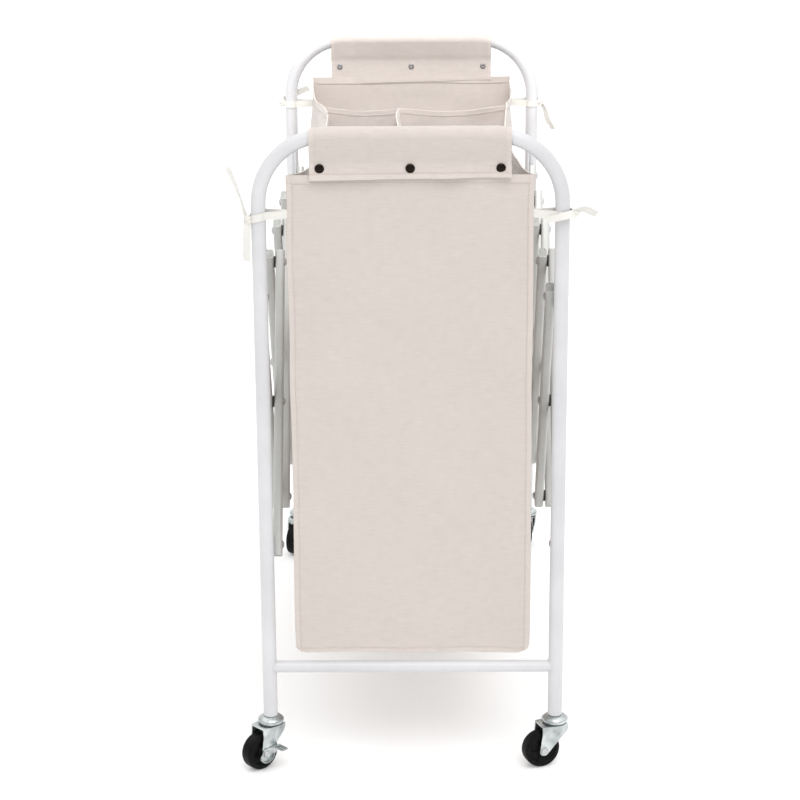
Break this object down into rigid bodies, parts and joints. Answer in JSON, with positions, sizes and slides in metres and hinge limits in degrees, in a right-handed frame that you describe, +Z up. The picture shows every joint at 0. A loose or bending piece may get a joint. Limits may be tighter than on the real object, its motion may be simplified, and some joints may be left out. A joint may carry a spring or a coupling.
{
  "type": "laundry sorter on wheels",
  "caption": "Rolling laundry sorter: two arched tube frames joined by folding accordion links, with a hanging canvas liner in compartments and swivel casters.",
  "frame": {"origin": "on the floor, under the middle of the bounding box", "axes": "+Z up; +Y along the length, from the near frame to the far frame; +X to the right"},
  "size_m": [0.464, 0.8822, 0.8686],
  "materials": {
    "white_paint": "gloss powder coat",
    "zinc": "bright zinc plate",
    "wheel_black": "satin moulded",
    "snap_bronze": "antique, darkened",
    "tape": "twill tape",
    "canvas": "plain-weave cotton canvas"
  },
  "bodies": {
    "near_frame": {"near_arch": "white_paint", "near_rail": "white_paint", "near_left_caster_stem": "zinc", "near_right_caster_stem": "zinc", "near_panel": "canvas", "near_left_tie": "tape", "near_right_tie": "tape", "left_side_panel": "canvas", "right_side_panel": "canvas", "bottom_panel": "canvas", "cross_divider": "canvas", "long_divider": "canvas"},
    "far_frame": {"far_arch": "white_paint", "far_rail": "white_paint", "far_left_caster_stem": "zinc", "far_right_caster_stem": "zinc", "far_panel": "canvas", "far_left_tie": "tape", "far_right_tie": "tape"},
    "left_rising_1": {"left_rising_bar_1": "white_paint"},
    "left_falling_1": {"left_falling_bar_1": "white_paint"},
    "left_rising_2": {"left_rising_bar_2": "white_paint"},
    "left_falling_2": {"left_falling_bar_2": "white_paint"},
    "left_rising_3": {"left_rising_bar_3": "white_paint"},
    "left_falling_3": {"left_falling_bar_3": "white_paint"},
    "left_rising_4": {"left_rising_bar_4": "white_paint"},
    "left_falling_4": {"left_falling_bar_4": "white_paint"},
    "right_rising_1": {"right_rising_bar_1": "white_paint"},
    "right_falling_1": {"right_falling_bar_1": "white_paint"},
    "right_rising_2": {"right_rising_bar_2": "white_paint"},
    "right_falling_2": {"right_falling_bar_2": "white_paint"},
    "right_rising_3": {"right_rising_bar_3": "white_paint"},
    "right_falling_3": {"right_falling_bar_3": "white_paint"},
    "right_rising_4": {"right_rising_bar_4": "white_paint"},
    "right_falling_4": {"right_falling_bar_4": "white_paint"},
    "near_left_caster": {"near_left_fork": "zinc", "near_left_axle": "zinc"},
    "near_left_wheel": {"near_left_wheel": "wheel_black"},
    "near_left_brake": {"near_left_brake_lever": "zinc"},
    "near_right_caster": {"near_right_fork": "zinc", "near_right_axle": "zinc"},
    "near_right_wheel": {"near_right_wheel": "wheel_black"},
    "far_left_caster": {"far_left_fork": "zinc", "far_left_axle": "zinc"},
    "far_left_wheel": {"far_left_wheel": "wheel_black"},
    "far_right_caster": {"far_right_fork": "zinc", "far_right_axle": "zinc"},
    "far_right_wheel": {"far_right_wheel": "wheel_black"},
    "far_right_brake": {"far_right_brake_lever": "zinc"},
    "near_flap": {"near_flap": "canvas", "near_left_snap": "snap_bronze", "near_middle_snap": "snap_bronze", "near_right_snap": "snap_bronze"},
    "far_flap": {"far_flap": "canvas", "far_left_snap": "snap_bronze", "far_middle_snap": "snap_bronze", "far_right_snap": "snap_bronze"}
  },
  "joints": [
    {"name": "fold", "type": "hinge", "parent": "near_frame", "child": "left_rising_1", "pos_m": [-0.18475, -0.378, 0.305], "axis": [1, 0, 0], "range_deg": [0, 25], "deforming": ["left_side_panel", "right_side_panel", "bottom_panel", "cross_divider", "long_divider"]},
    {"name": "left_top_pivot_2", "type": "hinge", "parent": "left_rising_1", "child": "left_falling_2", "pos_m": [-0.18475, -0.191, 0.643], "axis": [1, 0, 0], "range_deg": [-50, 0]},
    {"name": "left_low_pivot_3", "type": "hinge", "parent": "left_falling_2", "child": "left_rising_3", "pos_m": [-0.18475, -0.004, 0.305], "axis": [1, 0, 0], "range_deg": [0, 50]},
    {"name": "left_top_pivot_4", "type": "hinge", "parent": "left_rising_3", "child": "left_falling_4", "pos_m": [-0.18475, 0.183, 0.643], "axis": [1, 0, 0], "range_deg": [-50, 0]},
    {"name": "far_frame_pivot", "type": "hinge", "parent": "left_falling_4", "child": "far_frame", "pos_m": [-0.18475, 0.37, 0.305], "axis": [1, 0, 0], "range_deg": [0, 25]},
    {"name": "left_mid_pivot_1", "type": "hinge", "parent": "left_rising_1", "child": "left_falling_1", "pos_m": [-0.18475, -0.2845, 0.474], "axis": [1, 0, 0], "range_deg": [-50, 0]},
    {"name": "left_mid_pivot_2", "type": "hinge", "parent": "left_falling_2", "child": "left_rising_2", "pos_m": [-0.18475, -0.0975, 0.474], "axis": [1, 0, 0], "range_deg": [0, 50]},
    {"name": "left_mid_pivot_3", "type": "hinge", "parent": "left_rising_3", "child": "left_falling_3", "pos_m": [-0.18475, 0.0895, 0.474], "axis": [1, 0, 0], "range_deg": [-50, 0]},
    {"name": "left_mid_pivot_4", "type": "hinge", "parent": "left_falling_4", "child": "left_rising_4", "pos_m": [-0.18475, 0.2765, 0.474], "axis": [1, 0, 0], "range_deg": [0, 50]},
    {"name": "right_low_pivot_1", "type": "hinge", "parent": "near_frame", "child": "right_rising_1", "pos_m": [0.18475, -0.378, 0.305], "axis": [1, 0, 0], "range_deg": [0, 25]},
    {"name": "right_top_pivot_2", "type": "hinge", "parent": "right_rising_1", "child": "right_falling_2", "pos_m": [0.18475, -0.191, 0.643], "axis": [1, 0, 0], "range_deg": [-50, 0]},
    {"name": "right_low_pivot_5", "type": "hinge", "parent": "far_frame", "child": "right_falling_4", "pos_m": [0.18475, 0.37, 0.305], "axis": [1, 0, 0], "range_deg": [-25, 0]},
    {"name": "right_top_pivot_4", "type": "hinge", "parent": "right_falling_4", "child": "right_rising_3", "pos_m": [0.18475, 0.183, 0.643], "axis": [1, 0, 0], "range_deg": [0, 50]},
    {"name": "right_mid_pivot_1", "type": "hinge", "parent": "right_rising_1", "child": "right_falling_1", "pos_m": [0.18475, -0.2845, 0.474], "axis": [1, 0, 0], "range_deg": [-50, 0]},
    {"name": "right_mid_pivot_2", "type": "hinge", "parent": "right_falling_2", "child": "right_rising_2", "pos_m": [0.18475, -0.0975, 0.474], "axis": [1, 0, 0], "range_deg": [0, 50]},
    {"name": "right_mid_pivot_3", "type": "hinge", "parent": "right_rising_3", "child": "right_falling_3", "pos_m": [0.18475, 0.0895, 0.474], "axis": [1, 0, 0], "range_deg": [-50, 0]},
    {"name": "right_mid_pivot_4", "type": "hinge", "parent": "right_falling_4", "child": "right_rising_4", "pos_m": [0.18475, 0.2765, 0.474], "axis": [1, 0, 0], "range_deg": [0, 50]},
    {"name": "near_left_swivel", "type": "hinge", "parent": "near_frame", "child": "near_left_caster", "pos_m": [-0.1905, -0.404, 0.06], "axis": [0, 0, 1], "continuous": true},
    {"name": "near_left_roll", "type": "hinge", "parent": "near_left_caster", "child": "near_left_wheel", "pos_m": [-0.20549, -0.41798, 0.025], "axis": [0.682, -0.7314, 0], "continuous": true},
    {"name": "near_left_brake", "type": "hinge", "parent": "near_left_caster", "child": "near_left_brake", "pos_m": [-0.20549, -0.41798, 0.025], "axis": [0.682, -0.7314, 0], "range_deg": [-18, 0]},
    {"name": "near_right_swivel", "type": "hinge", "parent": "near_frame", "child": "near_right_caster", "pos_m": [0.1905, -0.404, 0.06], "axis": [0, 0, 1], "continuous": true},
    {"name": "near_right_roll", "type": "hinge", "parent": "near_right_caster", "child": "near_right_wheel", "pos_m": [0.17149, -0.41168, 0.025], "axis": [0.3746, -0.9272, 0], "continuous": true},
    {"name": "far_left_swivel", "type": "hinge", "parent": "far_frame", "child": "far_left_caster", "pos_m": [-0.1905, 0.396, 0.06], "axis": [0, 0, 1], "continuous": true},
    {"name": "far_left_roll", "type": "hinge", "parent": "far_left_caster", "child": "far_left_wheel", "pos_m": [-0.19684, 0.3765, 0.025], "axis": [0.9511, -0.309, 0], "continuous": true},
    {"name": "far_right_swivel", "type": "hinge", "parent": "far_frame", "child": "far_right_caster", "pos_m": [0.1905, 0.396, 0.06], "axis": [0, 0, 1], "continuous": true},
    {"name": "far_right_roll", "type": "hinge", "parent": "far_right_caster", "child": "far_right_wheel", "pos_m": [0.18836, 0.41639, 0.025], "axis": [-0.9945, -0.1045, 0], "continuous": true},
    {"name": "far_right_brake", "type": "hinge", "parent": "far_right_caster", "child": "far_right_brake", "pos_m": [0.18836, 0.41639, 0.025], "axis": [-0.9945, -0.1045, 0], "range_deg": [-18, 0]},
    {"name": "near_flap_lift", "type": "hinge", "parent": "near_frame", "child": "near_flap", "pos_m": [0, -0.40432, 0.8686], "axis": [-1, 0, 0], "range_deg": [0, 100]},
    {"name": "far_flap_lift", "type": "hinge", "parent": "far_frame", "child": "far_flap", "pos_m": [0, 0.39632, 0.8686], "axis": [1, 0, 0], "range_deg": [0, 100]}
  ],
  "couplings": [
    {"joint": "left_top_pivot_2", "follows": "fold", "ratio": -2},
    {"joint": "left_low_pivot_3", "follows": "fold", "ratio": 2},
    {"joint": "left_top_pivot_4", "follows": "fold", "ratio": -2},
    {"joint": "far_frame_pivot", "follows": "fold", "ratio": 1},
    {"joint": "left_mid_pivot_1", "follows": "fold", "ratio": -2},
    {"joint": "left_mid_pivot_2", "follows": "fold", "ratio": 2},
    {"joint": "left_mid_pivot_3", "follows": "fold", "ratio": -2},
    {"joint": "left_mid_pivot_4", "follows": "fold", "ratio": 2},
    {"joint": "right_low_pivot_1", "follows": "fold", "ratio": 1},
    {"joint": "right_top_pivot_2", "follows": "fold", "ratio": -2},
    {"joint": "right_low_pivot_5", "follows": "fold", "ratio": -1},
    {"joint": "right_top_pivot_4", "follows": "fold", "ratio": 2},
    {"joint": "right_mid_pivot_1", "follows": "fold", "ratio": -2},
    {"joint": "right_mid_pivot_2", "follows": "fold", "ratio": 2},
    {"joint": "right_mid_pivot_3", "follows": "fold", "ratio": -2},
    {"joint": "right_mid_pivot_4", "follows": "fold", "ratio": 2}
  ]
}
